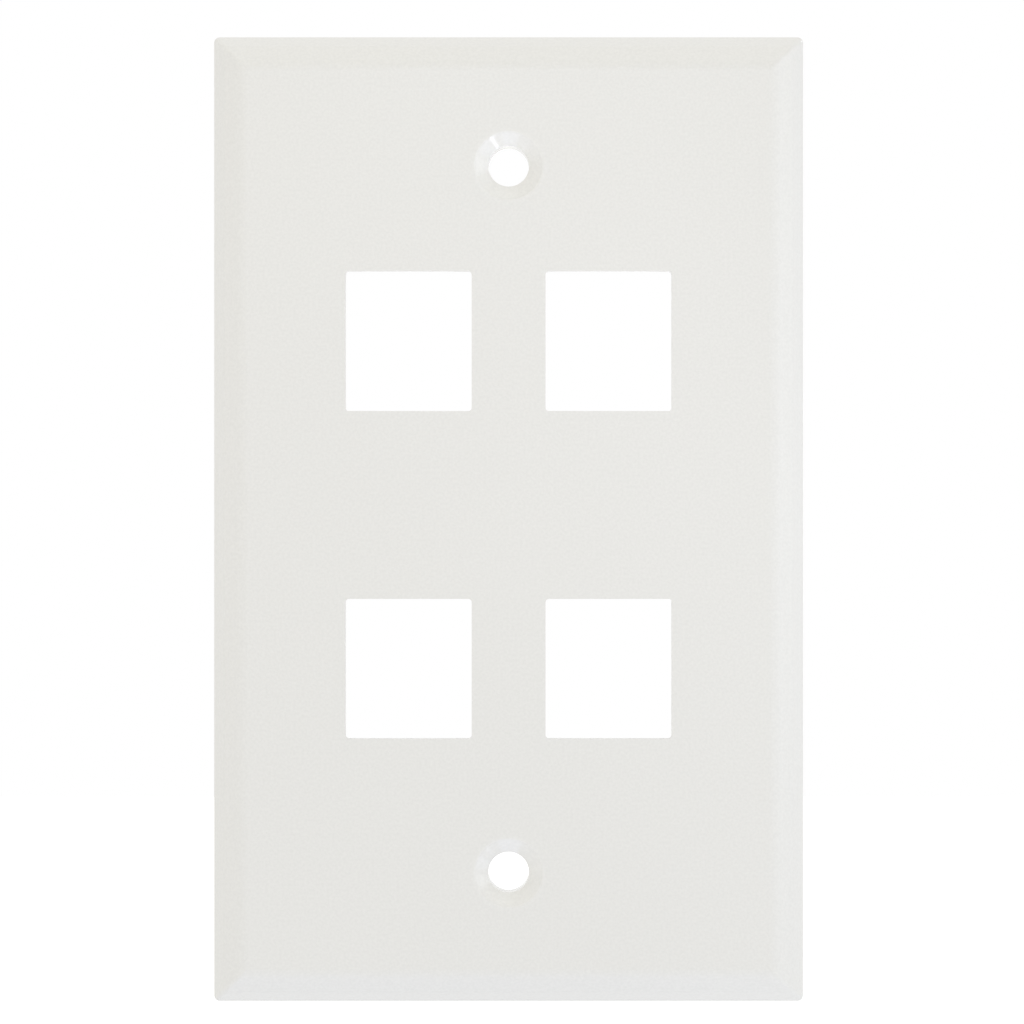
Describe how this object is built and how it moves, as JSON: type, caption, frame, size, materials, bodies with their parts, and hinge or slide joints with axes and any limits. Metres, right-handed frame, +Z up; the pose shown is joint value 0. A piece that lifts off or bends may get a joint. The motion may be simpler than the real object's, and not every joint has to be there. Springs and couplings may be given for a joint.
{
  "type": "keystone faceplate",
  "caption": "Flat single-gang wall plate with a bevelled rim, open snap-in jack ports in rows and two countersunk screw holes",
  "frame": {"origin": "Centre of the plate, midway between the two wall screws, on the plane of the wall that its rim stands on.", "axes": "+X to the right and +Z up as seen from the front on the wall. The face looks along -Y, and +Y goes into the wall."},
  "size_m": [0.0698, 0.0098, 0.1142],
  "materials": {
    "faceplate": "off-white moulded ABS with a fine low-sheen grain, smoother inside the countersinks"
  },
  "bodies": {
    "root": {"faceplate": "faceplate"}
  },
  "joints": []
}
